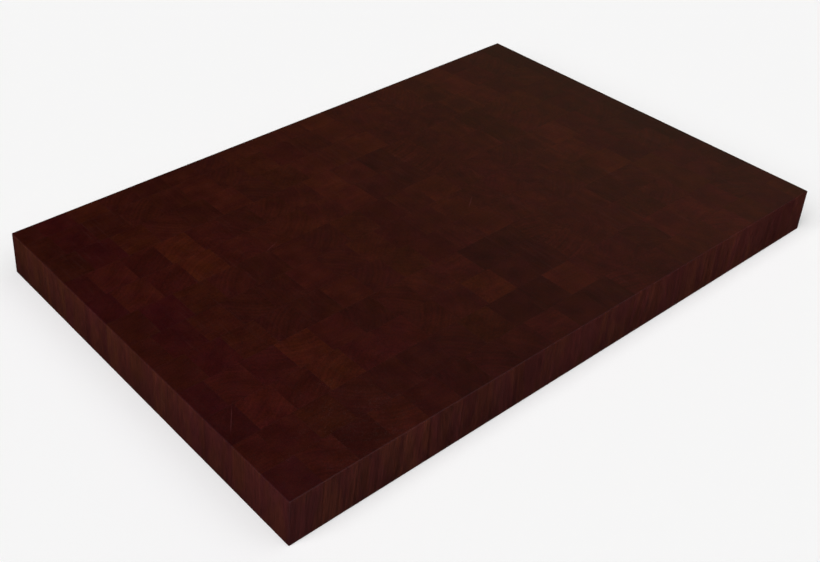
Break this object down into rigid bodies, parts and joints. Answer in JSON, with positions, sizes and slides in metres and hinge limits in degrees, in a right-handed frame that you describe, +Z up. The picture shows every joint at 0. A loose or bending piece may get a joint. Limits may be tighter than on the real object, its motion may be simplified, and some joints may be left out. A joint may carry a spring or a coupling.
{
  "type": "cutting board",
  "caption": "Thick flat rectangular end-grain cutting board of square dark hardwood blocks in staggered strips, with eased edges and flat faces.",
  "frame": {"origin": "centre of the flat underside", "axes": "+X along the strips, the board's length; +Y across the strips; +Z up, through the thickness"},
  "size_m": [0.74, 0.467, 0.051],
  "materials": {
    "end_grain_wood": "oiled satin, dark red-brown end grain with mixed block tones"
  },
  "bodies": {
    "root": {"strip_01_blocks_01_to_04": "end_grain_wood", "strip_01_blocks_05_to_08": "end_grain_wood", "strip_01_blocks_09_to_12": "end_grain_wood", "strip_01_blocks_13_to_16": "end_grain_wood", "strip_01_blocks_17_to_19": "end_grain_wood", "strip_02_blocks_01_to_03": "end_grain_wood", "strip_02_blocks_04_to_07": "end_grain_wood", "strip_02_blocks_08_to_11": "end_grain_wood", "strip_02_blocks_12_to_15": "end_grain_wood", "strip_02_blocks_16_to_19": "end_grain_wood", "strip_03_blocks_01_to_04": "end_grain_wood", "strip_03_blocks_05_to_08": "end_grain_wood", "strip_03_blocks_09_to_12": "end_grain_wood", "strip_03_blocks_13_to_16": "end_grain_wood", "strip_03_blocks_17_to_19": "end_grain_wood", "strip_04_blocks_01_to_03": "end_grain_wood", "strip_04_blocks_04_to_07": "end_grain_wood", "strip_04_blocks_08_to_11": "end_grain_wood", "strip_04_blocks_12_to_15": "end_grain_wood", "strip_04_blocks_16_to_19": "end_grain_wood", "strip_05_blocks_01_to_04": "end_grain_wood", "strip_05_blocks_05_to_08": "end_grain_wood", "strip_05_blocks_09_to_12": "end_grain_wood", "strip_05_blocks_13_to_16": "end_grain_wood", "strip_05_blocks_17_to_19": "end_grain_wood", "strip_06_blocks_01_to_03": "end_grain_wood", "strip_06_blocks_04_to_07": "end_grain_wood", "strip_06_blocks_08_to_11": "end_grain_wood", "strip_06_blocks_12_to_15": "end_grain_wood", "strip_06_blocks_16_to_19": "end_grain_wood", "strip_07_blocks_01_to_04": "end_grain_wood", "strip_07_blocks_05_to_08": "end_grain_wood", "strip_07_blocks_09_to_12": "end_grain_wood", "strip_07_blocks_13_to_16": "end_grain_wood", "strip_07_blocks_17_to_19": "end_grain_wood", "strip_08_blocks_01_to_03": "end_grain_wood", "strip_08_blocks_04_to_07": "end_grain_wood", "strip_08_blocks_08_to_11": "end_grain_wood", "strip_08_blocks_12_to_15": "end_grain_wood", "strip_08_blocks_16_to_19": "end_grain_wood", "strip_09_blocks_01_to_04": "end_grain_wood", "strip_09_blocks_05_to_08": "end_grain_wood", "strip_09_blocks_09_to_12": "end_grain_wood", "strip_09_blocks_13_to_16": "end_grain_wood", "strip_09_blocks_17_to_19": "end_grain_wood", "strip_10_blocks_01_to_03": "end_grain_wood", "strip_10_blocks_04_to_07": "end_grain_wood", "strip_10_blocks_08_to_11": "end_grain_wood", "strip_10_blocks_12_to_15": "end_grain_wood", "strip_10_blocks_16_to_19": "end_grain_wood", "strip_11_blocks_01_to_04": "end_grain_wood", "strip_11_blocks_05_to_08": "end_grain_wood", "strip_11_blocks_09_to_12": "end_grain_wood", "strip_11_blocks_13_to_16": "end_grain_wood", "strip_11_blocks_17_to_19": "end_grain_wood", "strip_12_blocks_01_to_03": "end_grain_wood", "strip_12_blocks_04_to_07": "end_grain_wood", "strip_12_blocks_08_to_11": "end_grain_wood", "strip_12_blocks_12_to_15": "end_grain_wood", "strip_12_blocks_16_to_19": "end_grain_wood"}
  },
  "joints": []
}
